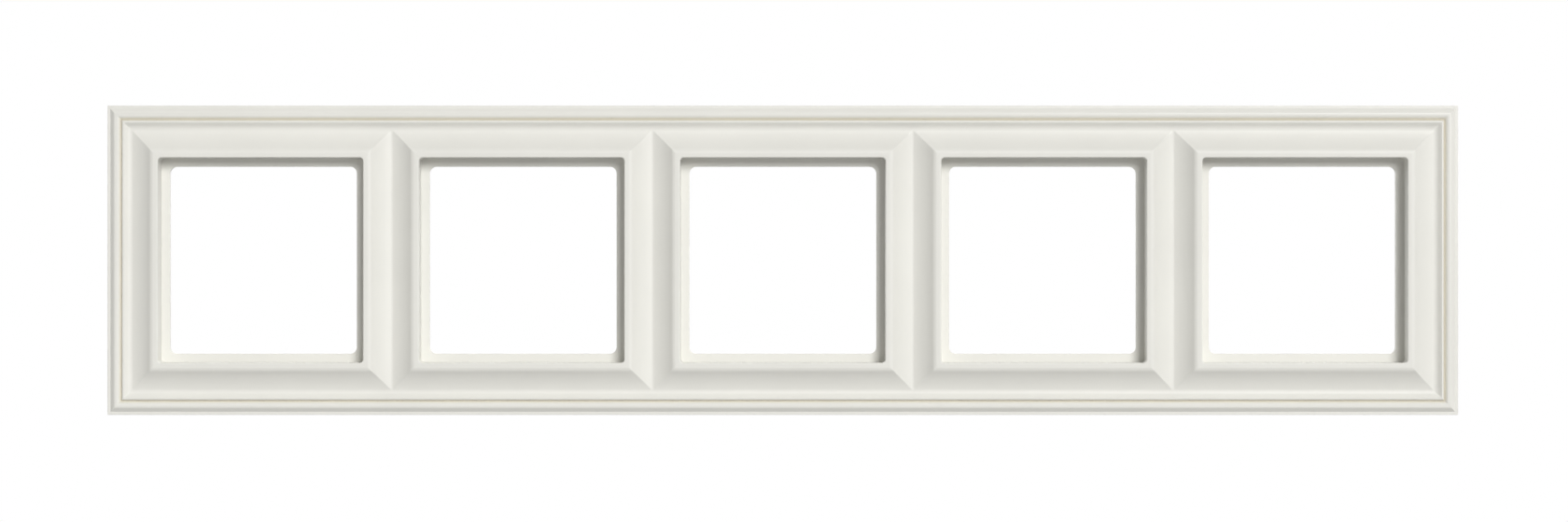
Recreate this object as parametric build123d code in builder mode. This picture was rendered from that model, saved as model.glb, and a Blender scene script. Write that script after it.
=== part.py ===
"""Cover frame for a row of flush wall devices: an outer border, an inner moulding and a clip ring in each opening.

Millimetres. X runs along the row, Z is up and the front faces -Y. The origin is the centre of the back, on the wall.
A section is drawn with its first coordinate across the rail, away from the middle of the opening or of the frame,
and its second coordinate the height above the wall.
"""

import os
from math import cos, radians, sin, tan

from build123d import *

# Row of openings
gang_count = 5
opening_size = 55.8
opening_radius = 1.0
divider_width = 15.2
rail_width = 14.25
ledge_width = 2.35
window_radius = 1.85

# Stack of thicknesses, from the wall to the front
plate_room = 1.8
ring_thickness = 1.4
register_rise = 0.4
web_thickness = 1.4
floor_thickness = 2.15
rim_rise = 3.25
lip_rise = 1.0

# Raised rims of the inner moulding, from the opening outwards
rim_wall = 1.4
rim_edge_radius = 0.3
rim_land = 1.1
shoulder_radius = 2.0
shoulder_angle = 43.0
slope_wall = 1.3
valley_angle = 18.0
valley_radius = 0.6

# Lip and cove round the inner moulding, and the groove outside the lip
seam_gap = 0.06
lip_draft = 0.42
lip_angle = 55.0
lip_land = 0.15
cove_width = 2.6

# Border of the outer frame, from the edge inwards
border_width = 3.8
strip_width = 0.83
chamfer_width = 0.9
chamfer_angle = 47.0
bead_radius = 1.0
bead_land = 0.15
roll_angle = 40.0
skirt_wall = 1.8

# Stiffening ribs behind the border
rib_thickness = 1.2
rib_reach = 2.6
rib_set_back = 0.4
ribs_per_gang = 3
ribs_per_end = 2

# Clip rings, with their hooks and the catches that the hooks hold
ring_flange = 3.35
ring_radius = 2.0
register_clearance = 0.06
web_clearance = 0.25
hook_width = 8.0
hook_thickness = 0.9
hook_clearance = 0.3
nose_depth = 0.5
nose_height = 0.35
nose_lead = 0.35
catch_clearance = 0.1
catch_rise = 0.3
catch_height = 0.5

# Heights above the wall
web_back = plate_room + ring_thickness
ledge_height = web_back + register_rise
web_front = web_back + web_thickness
floor_height = web_front + floor_thickness
rim_height = floor_height + rim_rise
lip_height = floor_height + lip_rise
groove_height = lip_height - lip_draft * tan(radians(lip_angle))
catch_foot = web_front + catch_rise
catch_top = catch_foot + catch_height
clear_height = 2 * rim_height

# Half sizes, from the middle of an opening
opening_half = opening_size / 2
window_half = opening_half - ledge_width
register_half = opening_half - register_clearance
rim_wall_half = opening_half + rim_wall
aperture_half = rim_wall_half + web_clearance
ring_half = aperture_half + ring_flange
hook_inside = rim_wall_half + catch_clearance + nose_depth
hook_outside = hook_inside + hook_thickness
notch_half = hook_outside + hook_clearance
notch_width = hook_width + 2 * hook_clearance

# Half sizes, from the middle of the frame
gang_pitch = opening_size + divider_width
frame_half_height = opening_half + rail_width
frame_half_length = frame_half_height + (gang_count - 1) / 2 * gang_pitch
lip_inset = border_width + seam_gap
lip_half_height = frame_half_height - lip_inset
lip_half_length = frame_half_length - lip_inset

# Bead of the border: a chamfer rises to it from the strip, and a roll falls from it to the groove
chamfer_rise = chamfer_width * tan(radians(chamfer_angle))
bead_rise = bead_radius * (1 - cos(radians(chamfer_angle)))
bead_end = strip_width + chamfer_width + bead_radius * sin(radians(chamfer_angle)) + bead_land
roll_radius = (border_width - bead_end) / sin(radians(roll_angle))
bead_height = groove_height + roll_radius * (1 - cos(radians(roll_angle)))
strip_height = bead_height - bead_rise - chamfer_rise

# Hollow slope of a rim, which meets its shoulder and its valley at their own angles
steep = radians(shoulder_angle)
shallow = radians(valley_angle)
shoulder_drop = shoulder_radius * (1 - cos(steep))
valley_drop = valley_radius * (1 - cos(shallow))
slope_radius = (rim_rise - shoulder_drop - valley_drop) / (cos(shallow) - cos(steep))
slope_turn = shoulder_angle - valley_angle
slope_start = Vector(opening_half + rim_land + shoulder_radius * sin(steep), rim_height - shoulder_drop)
slope_normal = Vector(sin(steep), cos(steep))
slope_tangent = Vector(cos(steep), -sin(steep))

gang_centres = [(i - (gang_count - 1) / 2) * gang_pitch for i in range(gang_count)]
side_angles = (0, 90, 180, 270)


def side_plane(angle, centre=(0, 0, 0)):
    """Section plane of the side that lies at an angle from +X: across the rail, then height above the wall."""
    turn = radians(angle)
    return Plane(centre, x_dir=(cos(turn), 0, sin(turn)), z_dir=(sin(turn), 0, -cos(turn)))


def mitred_block(across_length, across_height):
    """Rectangular block whose sides carry these sections, meeting in mitres at the corners."""
    with BuildPart() as block:
        with BuildSketch(side_plane(90)):
            add(across_height)
        extrude(amount=frame_half_length, both=True)
        with BuildSketch(side_plane(0)):
            add(across_length)
        extrude(amount=frame_half_length, both=True, mode=Mode.INTERSECT)
    return block.part


def rim_section():
    """Section of the raised block over one opening: land, round shoulder, hollow slope and valley."""
    with BuildSketch() as section:
        with BuildLine():
            land = Line((0, rim_height), (opening_half + rim_land, rim_height))
            shoulder = JernArc(land @ 1, land % 1, shoulder_radius, -shoulder_angle)
            slope = JernArc(shoulder @ 1, shoulder % 1, slope_radius, slope_turn)
            valley = JernArc(slope @ 1, slope % 1, valley_radius, valley_angle)
            valley_end = valley @ 1
            Polyline(valley_end, (valley_end.X, web_front), (0, web_front), (0, rim_height))
        make_face()
        mirror(about=Plane.YZ)
    return section.sketch


def hollow_section():
    """Section of the hollow behind a rim, an even wall away from its slope."""
    hollow_start = slope_start - slope_normal * slope_wall
    with BuildSketch() as section:
        with BuildLine():
            Line((0, hollow_start.Y), hollow_start)
            slope = JernArc(hollow_start, slope_tangent, slope_radius + slope_wall, slope_turn)
            slope_end = slope @ 1
            Polyline(slope_end, (slope_end.X, 0), (0, 0), (0, hollow_start.Y))
        make_face()
        mirror(about=Plane.YZ)
    return section.sketch


def lip_section(lip_half):
    """Section of the inner moulding as a full block, with the sloped face outside its lip."""
    with BuildSketch() as section:
        with BuildLine():
            Polyline(
                (0, web_front),
                (lip_half, web_front),
                (lip_half, groove_height),
                (lip_half - lip_draft, lip_height),
                (0, lip_height),
                close=True,
            )
        make_face()
        mirror(about=Plane.YZ)
    return section.sketch


def cove_section(lip_half):
    """Section of the space inside the lip, down its cove to the valley floor."""
    lip_line = lip_half - lip_draft
    lip_edge = (lip_line - lip_land, lip_height)
    with BuildSketch() as section:
        with BuildLine():
            floor = Line((0, floor_height), (lip_line - cove_width, floor_height))
            TangentArc(floor @ 1, lip_edge, tangent=floor % 1)
            Polyline(lip_edge, (lip_edge[0], clear_height), (0, clear_height), (0, floor_height))
        make_face()
        mirror(about=Plane.YZ)
    return section.sketch


def border_section(frame_half):
    """Section of the outer frame as a full block: flat strip, chamfer and bead."""
    strip_end = (frame_half - strip_width, strip_height)
    chamfer_end = (frame_half - strip_width - chamfer_width, strip_height + chamfer_rise)
    with BuildSketch() as section:
        with BuildLine():
            Polyline((0, bead_height), (0, 0), (frame_half, 0), (frame_half, strip_height), strip_end)
            chamfer = Line(strip_end, chamfer_end)
            bead = JernArc(chamfer_end, chamfer % 1, bead_radius, chamfer_angle)
            Line(bead @ 1, (0, bead_height))
        make_face()
        mirror(about=Plane.YZ)
    return section.sketch


def tray_section(frame_half):
    """Section of the space inside the border: the roll from the bead to the groove, then the web."""
    roll_start = (frame_half - bead_end, bead_height)
    with BuildSketch() as section:
        with BuildLine():
            roll = JernArc(roll_start, (-1, 0), roll_radius, roll_angle)
            groove = roll @ 1
            Polyline(
                groove,
                (groove.X, web_front),
                (0, web_front),
                (0, clear_height),
                (roll_start[0], clear_height),
                roll_start,
            )
        make_face()
        mirror(about=Plane.YZ)
    return section.sketch


def rib_places():
    """Side angle, half size and place along the rail of each stiffening rib."""
    rib_pitch = gang_pitch / ribs_per_gang
    rib_count = gang_count * ribs_per_gang
    for i in range(rib_count):
        along = (i - (rib_count - 1) / 2) * rib_pitch
        yield 90, frame_half_height, (along, 0, 0)
        yield 270, frame_half_height, (along, 0, 0)
    for i in range(ribs_per_end):
        along = (i - (ribs_per_end - 1) / 2) * opening_size / ribs_per_end
        yield 0, frame_half_length, (0, 0, along)
        yield 180, frame_half_length, (0, 0, along)


# Channel behind one rim, round the wall of its well
with BuildPart() as rim_hollow:
    add(mitred_block(hollow_section(), hollow_section()))
    with BuildSketch(Plane.XZ):
        RectangleRounded(2 * rim_wall_half, 2 * rim_wall_half, opening_radius + rim_wall)
    extrude(amount=clear_height, mode=Mode.SUBTRACT)

# Catches on the four sides of one well, with a sloped foot that leads a hook over
with BuildPart() as rim_catches:
    for angle in side_angles:
        with BuildSketch(side_plane(angle)):
            with BuildLine():
                Polyline(
                    (rim_wall_half - rim_wall / 2, catch_foot),
                    (rim_wall_half, catch_foot),
                    (rim_wall_half + nose_depth, catch_foot + catch_height / 2),
                    (rim_wall_half + nose_depth, catch_top),
                    (rim_wall_half - rim_wall / 2, catch_top),
                    close=True,
                )
            make_face()
        extrude(amount=hook_width / 2, both=True)

# Inner moulding: a lipped floor with a raised rim round each opening, hollow behind
with BuildPart() as inner_frame:
    add(mitred_block(lip_section(lip_half_length), lip_section(lip_half_height)))
    add(mitred_block(cove_section(lip_half_length), cove_section(lip_half_height)), mode=Mode.SUBTRACT)
    with GridLocations(gang_pitch, gang_pitch, gang_count, 1):
        add(mitred_block(rim_section(), rim_section()))
        add(rim_hollow.part, mode=Mode.SUBTRACT)
    with BuildSketch(Plane.XZ.offset(web_back)):
        with GridLocations(gang_pitch, gang_pitch, gang_count, 1):
            RectangleRounded(2 * rim_wall_half, 2 * rim_wall_half, opening_radius + rim_wall)
    extrude(amount=web_thickness)
    with GridLocations(gang_pitch, gang_pitch, gang_count, 1):
        add(rim_catches.part)
    with BuildSketch(Plane.XZ):
        with GridLocations(gang_pitch, gang_pitch, gang_count, 1):
            RectangleRounded(opening_size, opening_size, opening_radius)
    extrude(amount=clear_height, mode=Mode.SUBTRACT)
    rim_tops = inner_frame.faces().filter_by(Plane.XZ).group_by(Axis.Y)[0]
    fillet([wire.edges() for face in rim_tops for wire in face.inner_wires()], radius=rim_edge_radius)

# Outer frame: border and skirt round a web, with an aperture for each rim and notches for the hooks
with BuildPart() as outer_frame:
    add(mitred_block(border_section(frame_half_length), border_section(frame_half_height)))
    add(mitred_block(tray_section(frame_half_length), tray_section(frame_half_height)), mode=Mode.SUBTRACT)
    with BuildSketch(Plane.XZ):
        Rectangle(2 * (frame_half_length - skirt_wall), 2 * (frame_half_height - skirt_wall))
    extrude(amount=web_back, mode=Mode.SUBTRACT)
    for angle, frame_half, place in rib_places():
        skirt_inside = frame_half - skirt_wall
        with BuildSketch(side_plane(angle, place)):
            with BuildLine():
                Polyline(
                    (skirt_inside, rib_set_back),
                    (skirt_inside, web_back),
                    (skirt_inside - rib_reach, web_back),
                    close=True,
                )
            make_face()
        extrude(amount=rib_thickness / 2, both=True)
    with BuildSketch(Plane.XZ):
        with GridLocations(gang_pitch, gang_pitch, gang_count, 1):
            RectangleRounded(2 * aperture_half, 2 * aperture_half, opening_radius + rim_wall + web_clearance)
            Rectangle(2 * notch_half, notch_width)
            Rectangle(notch_width, 2 * notch_half)
    extrude(amount=clear_height, mode=Mode.SUBTRACT)

# Clip rings: a flange behind the web, a register that shows as the ledge, and a hook on each side
clip_rings = []
for gang_centre in gang_centres:
    centre = Vector(gang_centre, 0, 0)
    front = Plane(centre, x_dir=(1, 0, 0), z_dir=(0, -1, 0))
    with BuildPart() as clip_ring:
        with BuildSketch(front.offset(plate_room)):
            RectangleRounded(2 * ring_half, 2 * ring_half, ring_radius)
        extrude(amount=ring_thickness)
        with BuildSketch(front.offset(web_back)):
            RectangleRounded(2 * register_half, 2 * register_half, opening_radius)
        extrude(amount=register_rise)
        with BuildSketch(front):
            RectangleRounded(2 * window_half, 2 * window_half, window_radius)
        extrude(amount=clear_height, mode=Mode.SUBTRACT)
        for angle in side_angles:
            with BuildSketch(side_plane(angle, centre)):
                with BuildLine():
                    Polyline(
                        (hook_inside, plate_room),
                        (hook_inside, catch_top),
                        (hook_inside - nose_depth, catch_top),
                        (hook_inside - nose_depth, catch_top + nose_height),
                        (hook_inside, catch_top + nose_height + nose_lead),
                        (hook_outside, catch_top + nose_height + nose_lead),
                        (hook_outside, plate_room),
                        close=True,
                    )
                make_face()
            extrude(amount=hook_width / 2, both=True)
    clip_rings.append(clip_ring.part)

os.makedirs("parts", exist_ok=True)
inner_frame.part.label = "inner_frame"
export_step(inner_frame.part, "parts/inner_frame.step")
outer_frame.part.label = "outer_frame"
export_step(outer_frame.part, "parts/outer_frame.step")
for number, ring in enumerate(clip_rings, start=1):
    ring.label = f"clip_ring_{number}"
    export_step(ring, f"parts/{ring.label}.step")
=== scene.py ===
"""Cover frame for a row of flush wall devices: fine mouldings, plastic finishes, studio light and camera.

Metres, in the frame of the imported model: X along the row, Z up, the front faces -Y and the wall is y = 0.
A section is given across the rail and as a height above the wall, so a height h lies at y = -h.
"""

import bmesh
import bpy
import numpy as np
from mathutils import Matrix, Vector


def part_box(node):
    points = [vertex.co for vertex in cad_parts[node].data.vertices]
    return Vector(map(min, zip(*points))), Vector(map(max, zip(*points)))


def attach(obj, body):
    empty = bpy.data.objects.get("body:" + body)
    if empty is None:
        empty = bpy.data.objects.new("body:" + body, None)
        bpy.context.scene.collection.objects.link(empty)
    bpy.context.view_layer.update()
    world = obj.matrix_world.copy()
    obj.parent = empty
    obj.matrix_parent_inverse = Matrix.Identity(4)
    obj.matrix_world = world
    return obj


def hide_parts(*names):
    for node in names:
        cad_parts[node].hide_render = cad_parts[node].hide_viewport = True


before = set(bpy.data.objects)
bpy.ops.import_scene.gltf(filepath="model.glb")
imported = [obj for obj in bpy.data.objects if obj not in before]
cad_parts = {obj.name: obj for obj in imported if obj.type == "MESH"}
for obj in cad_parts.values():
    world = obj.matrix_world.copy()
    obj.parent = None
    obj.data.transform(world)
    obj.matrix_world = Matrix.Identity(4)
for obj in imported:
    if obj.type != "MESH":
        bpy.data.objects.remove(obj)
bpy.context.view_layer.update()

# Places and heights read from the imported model
OUTER_LOW, OUTER_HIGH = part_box("outer_frame")
INNER_LOW, INNER_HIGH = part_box("inner_frame")
RING_NAMES = sorted(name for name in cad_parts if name.startswith("clip_ring_"))
GANG_CENTRES = np.array([sum(corner.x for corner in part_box(name)) / 2 for name in RING_NAMES])
PITCH = GANG_CENTRES[1] - GANG_CENTRES[0]
FRAME_X, FRAME_Z = OUTER_HIGH.x, OUTER_HIGH.z
MOULDING_X, MOULDING_Z = INNER_HIGH.x, INNER_HIGH.z
RIM_HEIGHT = -INNER_LOW.y
BEAD_HEIGHT = -OUTER_LOW.y
WEB_BACK = -INNER_HIGH.y

# Raised rims, from the middle of an opening outwards
OPENING_HALF = 0.0279
OPENING_RADIUS = 0.0010
RIM_EDGE_RADIUS = 0.0003
RIM_LAND = 0.0011
RIM_WALL = 0.0014
WELL_DRAFT = 0.00005
LAND_SPLIT = 0.0007
SHOULDER_RADIUS = 0.0020
SHOULDER_ANGLE = np.radians(43)
RIM_RISE = 0.00325
VALLEY_ANGLE = np.radians(15)
VALLEY_RADIUS = 0.0006
SLOPE_WALL = 0.0013
HIP_ROUND = 0.00008

# Lip and cove round the moulding
LIP_RISE = 0.0010
LIP_DRAFT = 0.00042
LIP_ANGLE = np.radians(60)
LIP_ROUND = 0.00028
LIP_LAND = 0.00038
COVE_ANGLE = np.radians(39)
COVE_RADIUS = 0.0019

# Border, from the outer edge inwards to the groove, and its skirt
EDGE_ROUND = 0.00012
STRIP_WIDTH = 0.00083
CHAMFER_WIDTH = 0.0009
CHAMFER_ANGLE = np.radians(43)
BEAD_RADIUS = 0.0010
BEAD_LAND = 0.00015
ROLL_RADIUS = 0.00125
ROLL_ANGLE = np.radians(42)
SEAM_GAP = 0.00002
SKIRT_WALL = 0.0018

# Painted warm shade along the groove, where shade and bounced light fall: how far out it reaches, and its
# share at a bend on the way
GROOVE_REACH = 0.0008
GROOVE_BEND = GROOVE_REACH / 3
GROOVE_BEND_SHARE = 0.5

# Web, its apertures, the catches on the wells and the ribs behind the border
WEB_THICKNESS = 0.0014
WEB_CLEARANCE = 0.00025
NOTCH_REACH = 0.0018
NOTCH_WIDTH = 0.0086
CATCH_RISE = 0.0003
CATCH_HEIGHT = 0.0005
CATCH_DEPTH = 0.0005
CATCH_WIDTH = 0.0080
CATCH_FOOT_SHARE = 0.5
RIB_THICKNESS = 0.0012
RIB_REACH = 0.0026
RIB_SET_BACK = 0.0004
RIBS_PER_GANG = 3
RIBS_PER_END = 2

# Steps of the arcs
SHOULDER_STEPS = 14
SLOPE_STEPS = 20
VALLEY_STEPS = 6
HOLLOW_STEPS = 10
RIM_EDGE_STEPS = 8
WELL_CORNER_STEPS = 6
COVE_STEPS = 14
LIP_STEPS = 8
BEAD_STEPS = 10
ROLL_STEPS = 14
EDGE_STEPS = 6
FLOOR_STEPS = 96

# Welding and shading of the meshes
GRID_DIGITS = 8
WELD_DISTANCE = 1e-7
SLIVER_LENGTH = 1e-8
CREASE_ANGLE = np.radians(20)

# Plastic, with the scales of its noise per metre
WARM_WHITE = (0.745, 0.737, 0.690)
PLASTIC_IOR = 1.49
CLOUD_SCALE = 45.0
CLOUD_DETAIL = 3.0
TINT_PLACES = (0.3, 0.7)
TINT_LEVELS = (0.985, 1.01)
# Colour multiplied in along the groove as painted warm shade
GROOVE_PAINTED_SHADE = (0.96, 0.91, 0.80, 1)
ROUGHNESS_LOW = 0.38
ROUGHNESS_HIGH = 0.48
SKIN_SCALE = 900.0
SKIN_DETAIL = 2.0
SKIN_STRENGTH = 0.08
SKIN_DEPTH = 0.0001

# Studio: light of the world, and shades of the floor
AMBIENT_COLOUR = (1, 0.99, 0.96, 1)
PLAIN_WHITE = (1, 1, 1, 1)
FLOOR_ROUGHNESS = 0.8
FLOOR_SEEN_SHADE = 0.9
FLOOR_BOUNCE_SHADE = 0.45
FLOOR_LEAST_WHITE = 0.4

# Photograph's view, with pixels in its 1680 by 559 frame
PHOTO_WIDTH = 1680
PHOTO_CENTRE = (840.0, 279.5)
OBJECT_CENTRE = (838.7, 278.7)
PIXELS_PER_METRE = 3942.0
CAMERA_DISTANCE = 1.10
SENSOR_WIDTH = 36.0

# Sizes that follow
WEB_FRONT = WEB_BACK + WEB_THICKNESS
FLOOR_HEIGHT = RIM_HEIGHT - RIM_RISE
LIP_HEIGHT = FLOOR_HEIGHT + LIP_RISE
GROOVE_HEIGHT = LIP_HEIGHT - LIP_DRAFT * np.tan(LIP_ANGLE)
LIP_X, LIP_Z = MOULDING_X - LIP_DRAFT, MOULDING_Z - LIP_DRAFT
BORDER_WIDTH = FRAME_Z - MOULDING_Z - SEAM_GAP
LAND_HALF = OPENING_HALF + LAND_SPLIT
RIM_WALL_HALF = OPENING_HALF + RIM_WALL
APERTURE_HALF = RIM_WALL_HALF + WEB_CLEARANCE
NOTCH_HALF = RIM_WALL_HALF + NOTCH_REACH
QUARTER_TURNS = np.linspace(0, 3 * np.pi / 2, 4)


def arc(start, stop, steps):
    """Angles at even steps between two angles, both ends included."""
    return np.linspace(start, stop, steps + 1)


def place(across, height, up):
    """Points from distances along the row, heights above the wall and distances up."""
    return np.stack(np.broadcast_arrays(across, -np.asarray(height), up), axis=-1).reshape(-1, 3)


def off_centre(across):
    """Distance along the row from the middle of the nearest opening."""
    return np.abs(across[..., None] - GANG_CENTRES).min(axis=-1)


def strip_quads(rows, columns, closed=True):
    """Quads of a grid of points, row after row, joined round at the last column when the rows are closed."""
    cells = columns if closed else columns - 1
    row, column = np.meshgrid(np.arange(rows - 1), np.arange(cells), indexing="ij")
    beside = (column + 1) % columns
    here, next_row = row * columns, (row + 1) * columns
    corners = [here + column, here + beside, next_row + beside, next_row + column]
    return np.stack(corners, axis=-1).reshape(-1, 4)


def mark_groove_painted_shade(mesh):
    """Attribute for the painted warm shade in the groove: 1 along the groove, falling to 0 up the face of
    the lip and out over the roll, in straight stretches with one bend on the roll."""
    corners = np.empty(3 * len(mesh.vertices))
    mesh.vertices.foreach_get("co", corners)
    across, _, up = np.abs(corners.reshape(-1, 3).T)
    outside = np.maximum(across - MOULDING_X, up - MOULDING_Z)
    stations = [-LIP_DRAFT, 0, GROOVE_BEND, GROOVE_REACH]
    shares = [0, 1, GROOVE_BEND_SHARE, 0]
    groove = mesh.attributes.new("groove", "FLOAT", "POINT")
    groove.data.foreach_set("value", np.interp(outside, stations, shares))


def build_piece(name, sheets, material, node):
    """One mesh from sheets of points and faces, welded at their seams, that stands for a node of the
    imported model."""
    starts = np.cumsum([0] + [len(points) for points, _ in sheets])
    points = np.concatenate([points for points, _ in sheets])
    faces = [face for start, (_, quads) in zip(starts, sheets) for face in (quads + start).tolist()]
    mesh = bpy.data.meshes.new(name)
    mesh.from_pydata(points.tolist(), [], faces)
    shape = bmesh.new()
    shape.from_mesh(mesh)
    bmesh.ops.remove_doubles(shape, verts=shape.verts, dist=WELD_DISTANCE)
    bmesh.ops.dissolve_degenerate(shape, edges=shape.edges, dist=SLIVER_LENGTH)
    shape.to_mesh(mesh)
    shape.free()
    mesh.polygons.foreach_set("use_smooth", np.ones(len(mesh.polygons), dtype=bool))
    mesh.set_sharp_from_angle(angle=CREASE_ANGLE)
    mesh.materials.append(material)
    # Marks where the painted warm shade of the groove goes
    mark_groove_painted_shade(mesh)
    piece = bpy.data.objects.new(name, mesh)
    bpy.context.scene.collection.objects.link(piece)
    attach(piece, "root")
    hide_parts(node)


def rim_profile():
    """Section of a rim as distances and heights: a convex shoulder arc, then a long concave arc that starts
    at the shoulder's end angle, then a small concave arc that levels out on the valley floor. The inside of
    the rim is the long arc moved back by the wall."""
    start = np.array([OPENING_HALF + RIM_LAND, RIM_HEIGHT - SHOULDER_RADIUS])
    drop = SHOULDER_RADIUS * (1 - np.cos(SHOULDER_ANGLE)) + VALLEY_RADIUS * (1 - np.cos(VALLEY_ANGLE))
    slope_radius = (RIM_RISE - drop) / (np.cos(VALLEY_ANGLE) - np.cos(SHOULDER_ANGLE))

    def swing(centre, radius, turn):
        return np.asarray(centre)[:, None] + radius * np.stack([np.sin(turn), np.cos(turn)])

    steep = np.array([np.sin(SHOULDER_ANGLE), np.cos(SHOULDER_ANGLE)])
    shallow = np.array([np.sin(VALLEY_ANGLE), np.cos(VALLEY_ANGLE)])
    slope_centre = start + (SHOULDER_RADIUS + slope_radius) * steep
    valley_centre = slope_centre + (VALLEY_RADIUS - slope_radius) * shallow
    shoulder = swing(start, SHOULDER_RADIUS, arc(0, SHOULDER_ANGLE, SHOULDER_STEPS))
    slope = swing(slope_centre, -slope_radius, arc(SHOULDER_ANGLE, VALLEY_ANGLE, SLOPE_STEPS)[1:])
    valley = swing(valley_centre, -VALLEY_RADIUS, arc(VALLEY_ANGLE, 0, VALLEY_STEPS)[1:])
    hollow = swing(slope_centre, -slope_radius - SLOPE_WALL, arc(SHOULDER_ANGLE, VALLEY_ANGLE, HOLLOW_STEPS))
    return np.concatenate([shoulder, slope, valley], axis=1), hollow


def cove_profile():
    """Section inside the lip as distances from the lip's line and heights: after the land a straight slope,
    then an arc that levels out on the floor."""
    turn = arc(COVE_ANGLE, 0, COVE_STEPS)
    rise = COVE_RADIUS * (1 - np.cos(turn))
    slope_run = (LIP_RISE - rise[0]) / np.tan(COVE_ANGLE)
    run = slope_run + COVE_RADIUS * (np.sin(COVE_ANGLE) - np.sin(turn))
    return LIP_LAND + np.append(0, run), FLOOR_HEIGHT + np.append(LIP_RISE, rise)


def soft_max(a, b):
    """Larger of two arrays, with the crease where they meet rounded a little: half of their sum and of the
    root of their squared difference plus the square of the round."""
    return (a + b + np.sqrt((a - b) ** 2 + HIP_ROUND**2)) / 2


def moulded_face(rim, cove):
    """Front of the inner moulding as a height over the plan: a rim's height follows the larger of the
    distances from its opening's middle, which mitres its corners, and the cove's follows the nearer lip.
    Lines of the grid run through every point of both sections, so each mitre falls on the diagonals of its
    cells."""
    steps = np.concatenate([[LAND_HALF], rim[0]])
    inset = np.concatenate([[LIP_ROUND * np.tan(LIP_ANGLE / 2)], cove[0]])
    along_rims = (GANG_CENTRES[:, None] + np.concatenate([-steps, steps])).ravel()
    x = np.concatenate([along_rims, LIP_X - inset, inset - LIP_X])
    z = np.concatenate([-steps, steps, LIP_Z - inset, inset - LIP_Z])
    x, z = np.unique(np.round(x, GRID_DIGITS)), np.unique(np.round(z, GRID_DIGITS))
    across, up = np.meshgrid(x, z, indexing="ij")
    rims = np.interp(soft_max(off_centre(across), np.abs(up)), *rim)
    coves = np.interp(-soft_max(np.abs(across) - LIP_X, np.abs(up) - LIP_Z), *cove)
    points = place(across, np.maximum(rims, coves), up)

    mid_x, mid_z = np.meshgrid((x[1:] + x[:-1]) / 2, (z[1:] + z[:-1]) / 2, indexing="ij")
    nearest = GANG_CENTRES[np.abs(mid_x[..., None] - GANG_CENTRES).argmin(axis=-1)]
    kept = (np.maximum(off_centre(mid_x), np.abs(mid_z)) > LAND_HALF).ravel()
    forward = ((mid_x - nearest) * mid_z > 0).ravel()[:, None]
    a = (np.arange(len(x) - 1)[:, None] * len(z) + np.arange(len(z) - 1)).ravel()
    b, c, d = a + len(z), a + len(z) + 1, a + 1
    first = np.where(forward, np.stack([a, b, c], 1), np.stack([a, b, d], 1))
    second = np.where(forward, np.stack([a, c, d], 1), np.stack([b, c, d], 1))
    return points, np.concatenate([first[kept], second[kept]]), x, z


def rectangle_sides(half_x, half_z, x, z, height):
    """Points along the four sides of a rectangle, anticlockwise from the front, with points at these places
    between the corners."""
    x = np.concatenate([[-half_x], np.sort(x), [half_x]])
    z = np.concatenate([[-half_z], np.sort(z), [half_z]])
    lower, right = place(x, height, -half_z), place(half_x, height, z)
    return lower, right, place(x[::-1], height, half_z), place(-half_x, height, z[::-1])


def wall_sheets(upper_sides, lower_sides, outward):
    """Flat wall under each side of a rectangle: one face between the points along its upper and its lower
    edge."""
    sheets = []
    for upper, lower in zip(upper_sides, lower_sides):
        outline = np.concatenate([upper, lower[::-1]])
        order = np.arange(len(outline))
        sheets.append((outline, order[None, ::-1] if outward else order[None]))
    return sheets


def lip_sheets(x, z, hollow):
    """Outside of the lip: the outline of the front carried over a small round and down the sloped face to
    the groove, then flat walls down to the web."""
    outline_x = np.concatenate([x, np.full(len(z) - 1, x[-1]), x[-2::-1], np.full(len(z) - 2, x[0])])
    outline_z = np.concatenate([np.full(len(x), z[0]), z[1:], np.full(len(x) - 1, z[-1]), z[-2:0:-1]])
    out_x = np.where(np.isclose(np.abs(outline_x), x[-1]), np.sign(outline_x), 0)
    out_z = np.where(np.isclose(np.abs(outline_z), z[-1]), np.sign(outline_z), 0)
    turn = arc(0, LIP_ANGLE, LIP_STEPS)
    step = np.append(LIP_ROUND * np.sin(turn), MOULDING_X - x[-1])[:, None]
    height = np.append(LIP_HEIGHT - LIP_ROUND * (1 - np.cos(turn)), GROOVE_HEIGHT)[:, None]
    points = place(outline_x + step * out_x, height, outline_z + step * out_z)
    slope = (points, strip_quads(len(step), len(outline_x))[:, ::-1])
    upper = rectangle_sides(MOULDING_X, MOULDING_Z, x[1:-1], z[1:-1], GROOVE_HEIGHT)
    lower = rectangle_sides(MOULDING_X, MOULDING_Z, *hollow_lines(hollow), WEB_FRONT)
    return [slope] + wall_sheets(upper, lower, outward=True)


def rounded_outline(half_x, half_z, radius, steps):
    """Outlines of rectangles with round corners, anticlockwise from the front: one row for each half size
    and radius, with a quarter circle at each corner."""
    half_x, half_z, radius = (np.asarray(value, float)[:, None] for value in (half_x, half_z, radius))
    turn = (QUARTER_TURNS[:, None] + arc(0, np.pi / 2, steps)).ravel()
    quarter = np.repeat(np.arange(len(QUARTER_TURNS)), steps + 1)
    side_x = np.where((quarter == 0) | (quarter == 3), 1, -1)
    side_z = np.where(quarter < 2, 1, -1)
    across = side_x * (half_x - radius) + radius * np.cos(turn)
    up = side_z * (half_z - radius) + radius * np.sin(turn)
    return across, up


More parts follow.
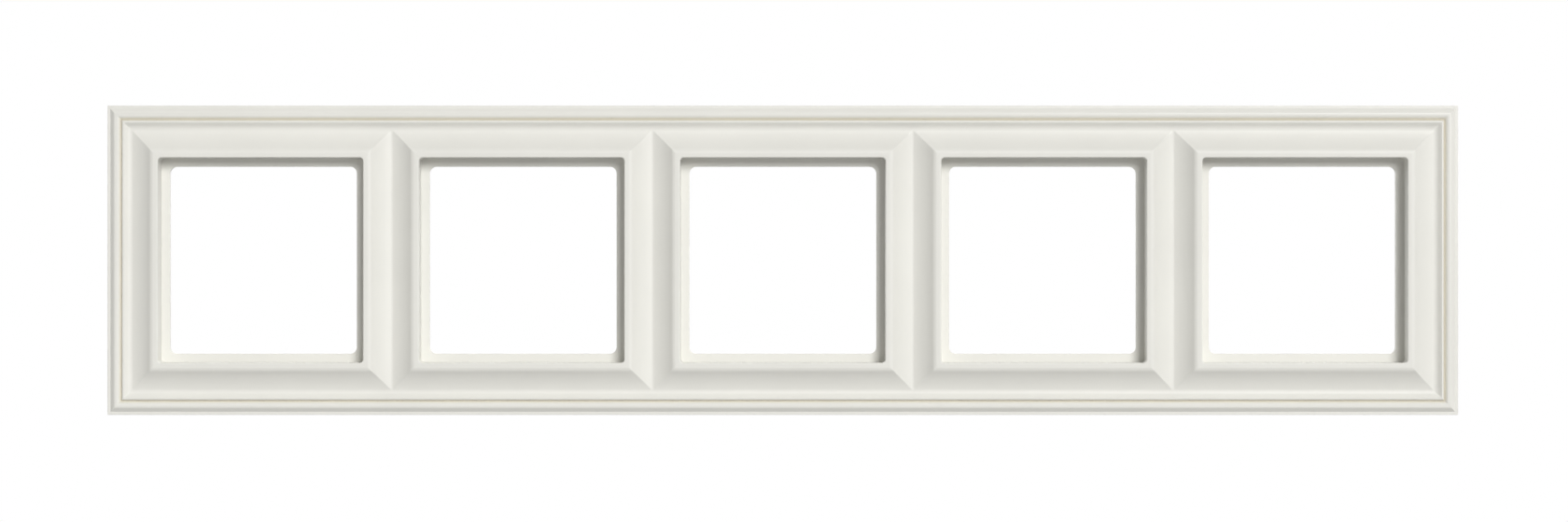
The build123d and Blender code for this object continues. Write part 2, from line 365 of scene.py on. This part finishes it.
def well_sheet(centre, hollow):
    """Well of one opening and the hollow round it: rounded squares stacked along the section, from the land
    over the rim's edge, down the well, under its wall, up behind it and down the inside of the slope."""
    turn = arc(0, np.pi / 2, RIM_EDGE_STEPS)
    edge = RIM_EDGE_RADIUS * (1 - np.sin(turn))
    outer_radius = OPENING_RADIUS + RIM_WALL
    rows = [
        ([LAND_HALF], [RIM_HEIGHT], [0]),
        (OPENING_HALF + edge, RIM_HEIGHT - RIM_EDGE_RADIUS * (1 - np.cos(turn)), OPENING_RADIUS + edge),
        ([OPENING_HALF - WELL_DRAFT, RIM_WALL_HALF], [WEB_BACK, WEB_BACK], [OPENING_RADIUS, outer_radius]),
        ([RIM_WALL_HALF], hollow[1][:1], [outer_radius]),
        (hollow[0], hollow[1], np.linspace(outer_radius, 0, len(hollow[0]))),
        (hollow[0][-1:], [WEB_FRONT], [0]),
    ]
    half, height, radius = (np.concatenate(column) for column in zip(*rows))
    across, up = rounded_outline(half, half, radius, WELL_CORNER_STEPS)
    return place(centre + across, height[:, None], up), strip_quads(*across.shape)


def pierced_sheet(x, z, in_hole, height, to_front):
    """Flat sheet on a grid of lines, with the cells left out whose middles lie in a hole."""
    across, up = np.meshgrid(np.unique(x), np.unique(z), indexing="ij")
    mid_x = (across[1:, 1:] + across[:-1, :-1]) / 2
    mid_z = (up[1:, 1:] + up[:-1, :-1]) / 2
    quads = strip_quads(*across.shape, closed=False)[~in_hole(mid_x, mid_z).ravel()]
    used, quads = np.unique(quads, return_inverse=True)
    quads = quads.reshape(-1, 4)
    return place(across, height, up)[used], quads[:, ::-1] if to_front else quads


def hollow_lines(hollow):
    """Places along and up the frame where the edges of the hollows behind the rims lie."""
    reach = hollow[0][-1]
    return np.concatenate([GANG_CENTRES - reach, GANG_CENTRES + reach]), np.array([-reach, reach])


def moulding_underside(hollow):
    """Back of the inner moulding on the web: a flat sheet with a square left out behind each rim."""

    def behind_rim(across, up):
        return np.maximum(off_centre(across), np.abs(up)) < hollow[0][-1]

    x, z = hollow_lines(hollow)
    x, z = np.append(x, [-MOULDING_X, MOULDING_X]), np.append(z, [-MOULDING_Z, MOULDING_Z])
    return pierced_sheet(x, z, behind_rim, WEB_FRONT, to_front=False)


def border_sheet():
    """Border of the outer frame: its section carried round the frame as rectangles, a little rounded at the
    outer corners, from the inside of the skirt round its back edge, up the side, over the strip, the chamfer
    and the bead, and down the roll, an arc with a straight slope after it, to the groove."""
    quarter = arc(0, np.pi / 2, EDGE_STEPS)
    bead_start = STRIP_WIDTH + CHAMFER_WIDTH + BEAD_RADIUS * np.sin(CHAMFER_ANGLE)
    chamfer_top = BEAD_HEIGHT - BEAD_RADIUS * (1 - np.cos(CHAMFER_ANGLE))
    strip_height = chamfer_top - CHAMFER_WIDTH * np.tan(CHAMFER_ANGLE)
    roll_start = bead_start + BEAD_LAND
    roll_end = BEAD_HEIGHT - ROLL_RADIUS * (1 - np.cos(ROLL_ANGLE))
    slope_run = BORDER_WIDTH - roll_start - ROLL_RADIUS * np.sin(ROLL_ANGLE)
    bead = arc(CHAMFER_ANGLE, 0, BEAD_STEPS)
    roll = arc(0, ROLL_ANGLE, ROLL_STEPS)
    rows = [
        ([SKIRT_WALL], [0]),
        (EDGE_ROUND * (1 - np.sin(quarter)), EDGE_ROUND * (1 - np.cos(quarter))),
        (EDGE_ROUND * (1 - np.cos(quarter)), strip_height - EDGE_ROUND * (1 - np.sin(quarter))),
        ([STRIP_WIDTH], [strip_height]),
        (bead_start - BEAD_RADIUS * np.sin(bead), BEAD_HEIGHT - BEAD_RADIUS * (1 - np.cos(bead))),
        (roll_start + ROLL_RADIUS * np.sin(roll), BEAD_HEIGHT - ROLL_RADIUS * (1 - np.cos(roll))),
        ([BORDER_WIDTH], [roll_end - slope_run * np.tan(ROLL_ANGLE)]),
    ]
    inward, height = (np.concatenate(column) for column in zip(*rows))
    radius = np.maximum(EDGE_ROUND - inward, 0)
    across, up = rounded_outline(FRAME_X - inward, FRAME_Z - inward, radius, EDGE_STEPS)
    return place(across, height[:, None], up), strip_quads(*across.shape), height[-1]


def in_aperture(across, up):
    """True in the square apertures of the web and in the notches at the middle of their sides."""
    aside, up = off_centre(across), np.abs(up)
    square = np.maximum(aside, up) < APERTURE_HALF
    upright = (aside < NOTCH_WIDTH / 2) & (up < NOTCH_HALF)
    level = (aside < NOTCH_HALF) & (up < NOTCH_WIDTH / 2)
    return square | upright | level


def web_sheets(groove_height):
    """Web of the outer frame: its front and its back, with an aperture and its notches for each opening, the
    walls of the apertures, the wall from the groove down to the front, and the inside of the skirt."""
    cuts = np.array([APERTURE_HALF, NOTCH_HALF, NOTCH_WIDTH / 2])
    cuts = np.concatenate([-cuts, cuts])
    across = (GANG_CENTRES[:, None] + cuts).ravel()
    sheets = []
    for inset, height, to_front in ((BORDER_WIDTH, WEB_FRONT, True), (SKIRT_WALL, WEB_BACK, False)):
        half_x, half_z = FRAME_X - inset, FRAME_Z - inset
        x, z = np.append(across, [-half_x, half_x]), np.append(cuts, [-half_z, half_z])
        sheets.append(pierced_sheet(x, z, in_aperture, height, to_front))
        edge = rectangle_sides(half_x, half_z, across, cuts, height)
        far_edge = rectangle_sides(half_x, half_z, [], [], groove_height if to_front else 0)
        upper, lower = (far_edge, edge) if to_front else (edge, far_edge)
        sheets += wall_sheets(upper, lower, outward=False)
    half, reach, width = APERTURE_HALF, NOTCH_HALF, NOTCH_WIDTH / 2
    side = np.array([[half, -width], [reach, -width], [reach, width], [half, width], [half, half]])
    turns = QUARTER_TURNS[:, None]
    outline_x = (side[:, 0] * np.cos(turns) - side[:, 1] * np.sin(turns)).ravel()
    outline_z = (side[:, 0] * np.sin(turns) + side[:, 1] * np.cos(turns)).ravel()
    heights = np.array([[WEB_FRONT], [WEB_BACK]])
    quads = strip_quads(2, len(outline_x))
    return sheets + [(place(centre + outline_x, heights, outline_z), quads) for centre in GANG_CENTRES]


def prism_sheets(outward, height, along, width, turn, centre):
    """Prism from a section, given as distances away from a centre and heights, and its width along the rail.
    The turn about the centre is the angle of its side of the frame or opening."""
    count = len(outward)
    reach = np.tile(outward, 2)
    aside = along + np.repeat([-width / 2, width / 2], count)
    across = centre + reach * np.cos(turn) - aside * np.sin(turn)
    up = reach * np.sin(turn) + aside * np.cos(turn)
    points = place(across, np.tile(height, 2), up)
    order = np.arange(count)
    ends = np.stack([order, order[::-1] + count])
    beside = (order + 1) % count
    return [(points, ends), (points, np.stack([order, order + count, beside + count, beside], axis=1))]


def catch_sheets():
    """Catches on the four sides of each well's wall that the hooks of the clip rings hold: a small prism
    with a sloped foot."""
    foot = WEB_FRONT + CATCH_RISE
    outward = RIM_WALL_HALF + np.array([-RIM_WALL / 2, 0, CATCH_DEPTH, CATCH_DEPTH, -RIM_WALL / 2])
    height = foot + CATCH_HEIGHT * np.array([0, 0, CATCH_FOOT_SHARE, 1, 1])
    sheets = []
    for centre in GANG_CENTRES:
        for turn in QUARTER_TURNS:
            sheets += prism_sheets(outward, height, 0, CATCH_WIDTH, turn, centre)
    return sheets


def rib_sheets():
    """Stiffening ribs behind the border: a triangle against skirt and web, given its thickness along the
    rail."""
    inward = np.array([0, 0, RIB_REACH])
    height = np.array([RIB_SET_BACK, WEB_BACK, WEB_BACK])
    count = len(GANG_CENTRES) * RIBS_PER_GANG
    along = (np.arange(count) - (count - 1) / 2) * PITCH / RIBS_PER_GANG
    end_along = (np.arange(RIBS_PER_END) - (RIBS_PER_END - 1) / 2) * 2 * OPENING_HALF / RIBS_PER_END
    sides = [(FRAME_X, end_along), (FRAME_Z, along)] * 2
    sheets = []
    for turn, (half, places) in zip(QUARTER_TURNS, sides):
        outward = half - SKIRT_WALL - inward
        for place_along in places:
            sheets += prism_sheets(outward, height, place_along, RIB_THICKNESS, turn, 0)
    return sheets


def frame_plastic(name, colour):
    """Glossy warm white plastic: faint cloudy shifts of colour and gloss, a painted warm shade along the
    groove where shade falls, and the slight waviness of a moulded skin."""
    material = bpy.data.materials.new(name)
    material.use_nodes = True
    nodes, links = material.node_tree.nodes, material.node_tree.links
    shader = nodes["Principled BSDF"]
    shader.inputs["IOR"].default_value = PLASTIC_IOR
    where = nodes.new("ShaderNodeTexCoord")
    cloud = nodes.new("ShaderNodeTexNoise")
    cloud.inputs["Scale"].default_value = CLOUD_SCALE
    cloud.inputs["Detail"].default_value = CLOUD_DETAIL
    links.new(where.outputs["Object"], cloud.inputs["Vector"])
    tint = nodes.new("ShaderNodeValToRGB")
    for element, position, level in zip(tint.color_ramp.elements, TINT_PLACES, TINT_LEVELS):
        element.position = position
        element.color = (*[level * channel for channel in colour], 1)
    links.new(cloud.outputs["Fac"], tint.inputs["Fac"])
    # Painted warm shade along the groove, multiplied into the colour
    groove = nodes.new("ShaderNodeAttribute")
    groove.attribute_name = "groove"
    groove_painted_shade = nodes.new("ShaderNodeMix")
    groove_painted_shade.data_type = "RGBA"
    groove_painted_shade.blend_type = "MULTIPLY"
    groove_painted_shade.inputs["B"].default_value = GROOVE_PAINTED_SHADE
    links.new(groove.outputs["Fac"], groove_painted_shade.inputs["Factor"])
    links.new(tint.outputs["Color"], groove_painted_shade.inputs["A"])
    links.new(groove_painted_shade.outputs["Result"], shader.inputs["Base Color"])
    gloss = nodes.new("ShaderNodeMapRange")
    gloss.inputs["To Min"].default_value = ROUGHNESS_LOW
    gloss.inputs["To Max"].default_value = ROUGHNESS_HIGH
    links.new(cloud.outputs["Fac"], gloss.inputs["Value"])
    links.new(gloss.outputs["Result"], shader.inputs["Roughness"])
    skin = nodes.new("ShaderNodeTexNoise")
    skin.inputs["Scale"].default_value = SKIN_SCALE
    skin.inputs["Detail"].default_value = SKIN_DETAIL
    links.new(where.outputs["Object"], skin.inputs["Vector"])
    bump = nodes.new("ShaderNodeBump")
    bump.inputs["Strength"].default_value = SKIN_STRENGTH
    bump.inputs["Distance"].default_value = SKIN_DEPTH
    links.new(skin.outputs["Fac"], bump.inputs["Height"])
    links.new(bump.outputs["Normal"], shader.inputs["Normal"])
    return material


def seen_directly(tree):
    """Socket that is 1 for rays from the camera, and for those that gloss and glass send on."""
    path = tree.nodes.new("ShaderNodeLightPath")
    total = path.outputs["Is Camera Ray"]
    for name in ("Is Glossy Ray", "Is Transmission Ray"):
        larger = tree.nodes.new("ShaderNodeMath")
        larger.operation = "MAXIMUM"
        tree.links.new(total, larger.inputs[0])
        tree.links.new(path.outputs[name], larger.inputs[1])
        total = larger.outputs["Value"]
    return total


def white_world(light):
    """World that shows plain white and lights the object evenly at its own level."""
    world = bpy.data.worlds.new("studio")
    bpy.context.scene.world = world
    world.use_nodes = True
    tree = world.node_tree
    ambient = tree.nodes["Background"]
    ambient.inputs["Color"].default_value = AMBIENT_COLOUR
    ambient.inputs["Strength"].default_value = light
    white = tree.nodes.new("ShaderNodeBackground")
    white.inputs["Color"].default_value = PLAIN_WHITE
    white.inputs["Strength"].default_value = 1.0
    mix = tree.nodes.new("ShaderNodeMixShader")
    tree.links.new(seen_directly(tree), mix.inputs["Fac"])
    tree.links.new(ambient.outputs["Background"], mix.inputs[1])
    tree.links.new(white.outputs["Background"], mix.inputs[2])
    tree.links.new(mix.outputs["Shader"], tree.nodes["World Output"].inputs["Surface"])


def pale_floor(height, radius, fade_start, fade_end):
    """Round pale floor below the frame that keeps its shadow and fades to the white of the world further
    out. It sends up less light than its own shade would."""
    turn = arc(0, 2 * np.pi, FLOOR_STEPS)[:-1]
    points = np.stack([radius * np.cos(turn), radius * np.sin(turn), np.full(len(turn), height)], axis=1)
    mesh = bpy.data.meshes.new("floor")
    mesh.from_pydata(points.tolist(), [], [list(range(len(turn)))])
    floor = bpy.data.objects.new("floor", mesh)
    bpy.context.scene.collection.objects.link(floor)
    material = bpy.data.materials.new("floor_white")
    material.use_nodes = True
    tree = material.node_tree
    paint = tree.nodes["Principled BSDF"]
    paint.inputs["Roughness"].default_value = FLOOR_ROUGHNESS
    direct = seen_directly(tree)
    shade = tree.nodes.new("ShaderNodeMapRange")
    shade.inputs["To Min"].default_value = FLOOR_BOUNCE_SHADE
    shade.inputs["To Max"].default_value = FLOOR_SEEN_SHADE
    tree.links.new(direct, shade.inputs["Value"])
    tree.links.new(shade.outputs["Result"], paint.inputs["Base Color"])
    where = tree.nodes.new("ShaderNodeTexCoord")
    distance = tree.nodes.new("ShaderNodeVectorMath")
    distance.operation = "LENGTH"
    tree.links.new(where.outputs["Object"], distance.inputs[0])
    fade = tree.nodes.new("ShaderNodeMapRange")
    fade.interpolation_type = "SMOOTHSTEP"
    fade.inputs["From Min"].default_value = fade_start
    fade.inputs["From Max"].default_value = fade_end
    fade.inputs["To Min"].default_value = FLOOR_LEAST_WHITE
    tree.links.new(distance.outputs["Value"], fade.inputs["Value"])
    share = tree.nodes.new("ShaderNodeMath")
    share.operation = "MULTIPLY"
    tree.links.new(fade.outputs["Result"], share.inputs[0])
    tree.links.new(direct, share.inputs[1])
    white = tree.nodes.new("ShaderNodeEmission")
    mix = tree.nodes.new("ShaderNodeMixShader")
    tree.links.new(share.outputs["Value"], mix.inputs["Fac"])
    tree.links.new(paint.outputs["BSDF"], mix.inputs[1])
    tree.links.new(white.outputs["Emission"], mix.inputs[2])
    tree.links.new(mix.outputs["Shader"], tree.nodes["Material Output"].inputs["Surface"])
    mesh.materials.append(material)


def soft_light(name, direction, strength, spread):
    """Distant soft light from a direction, with its strength on a surface that faces it and its angle of
    spread."""
    lamp = bpy.data.lights.new(name, "SUN")
    lamp.energy = strength
    lamp.angle = spread
    light = bpy.data.objects.new(name, lamp)
    bpy.context.scene.collection.objects.link(light)
    light.location = np.array(direction) / np.linalg.norm(direction)
    light.rotation_euler = light.location.to_track_quat("Z", "Y").to_euler()


def photo_camera():
    """Camera straight in front, framed as the photograph: the scale of the rims' plane sets the lens."""
    data = bpy.data.cameras.new("photo_camera")
    data.sensor_width = SENSOR_WIDTH
    data.lens = SENSOR_WIDTH * CAMERA_DISTANCE * PIXELS_PER_METRE / PHOTO_WIDTH
    camera = bpy.data.objects.new("photo_camera", data)
    bpy.context.scene.collection.objects.link(camera)
    aside = (PHOTO_CENTRE[0] - OBJECT_CENTRE[0]) / PIXELS_PER_METRE
    below = (PHOTO_CENTRE[1] - OBJECT_CENTRE[1]) / PIXELS_PER_METRE
    camera.location = (aside, -RIM_HEIGHT - CAMERA_DISTANCE, -below)
    camera.rotation_euler = (np.pi / 2, 0, 0)
    bpy.context.scene.camera = camera


border_plastic = frame_plastic("border_plastic", WARM_WHITE)
moulding_plastic = frame_plastic("moulding_plastic", WARM_WHITE)
ring_plastic = frame_plastic("ring_plastic", WARM_WHITE)

rim, hollow = rim_profile()
face_points, face_triangles, grid_x, grid_z = moulded_face(rim, cove_profile())
moulding_sheets = [(face_points, face_triangles), moulding_underside(hollow)]
moulding_sheets += lip_sheets(grid_x, grid_z, hollow)
moulding_sheets += [well_sheet(centre, hollow) for centre in GANG_CENTRES] + catch_sheets()
border_points, border_quads, groove_height = border_sheet()
border_sheets = [(border_points, border_quads)] + web_sheets(groove_height) + rib_sheets()
build_piece("inner_moulding", moulding_sheets, moulding_plastic, "inner_frame")
build_piece("outer_border", border_sheets, border_plastic, "outer_frame")
for ring_name in RING_NAMES:
    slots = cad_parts[ring_name].data.materials
    slots.clear()
    slots.append(ring_plastic)

white_world(light=0.20)
pale_floor(height=-0.12, radius=2.5, fade_start=0.30, fade_end=0.70)
soft_light("key", direction=(0.365, -0.862, 0.353), strength=2.46, spread=np.radians(26))
soft_light("fill", direction=(-0.985, -0.174, 0.0), strength=0.22, spread=np.radians(30))
soft_light("back", direction=(0, 1, 0.2), strength=2.7, spread=np.radians(150))
photo_camera()
bpy.context.scene.view_settings.view_transform = "Standard"
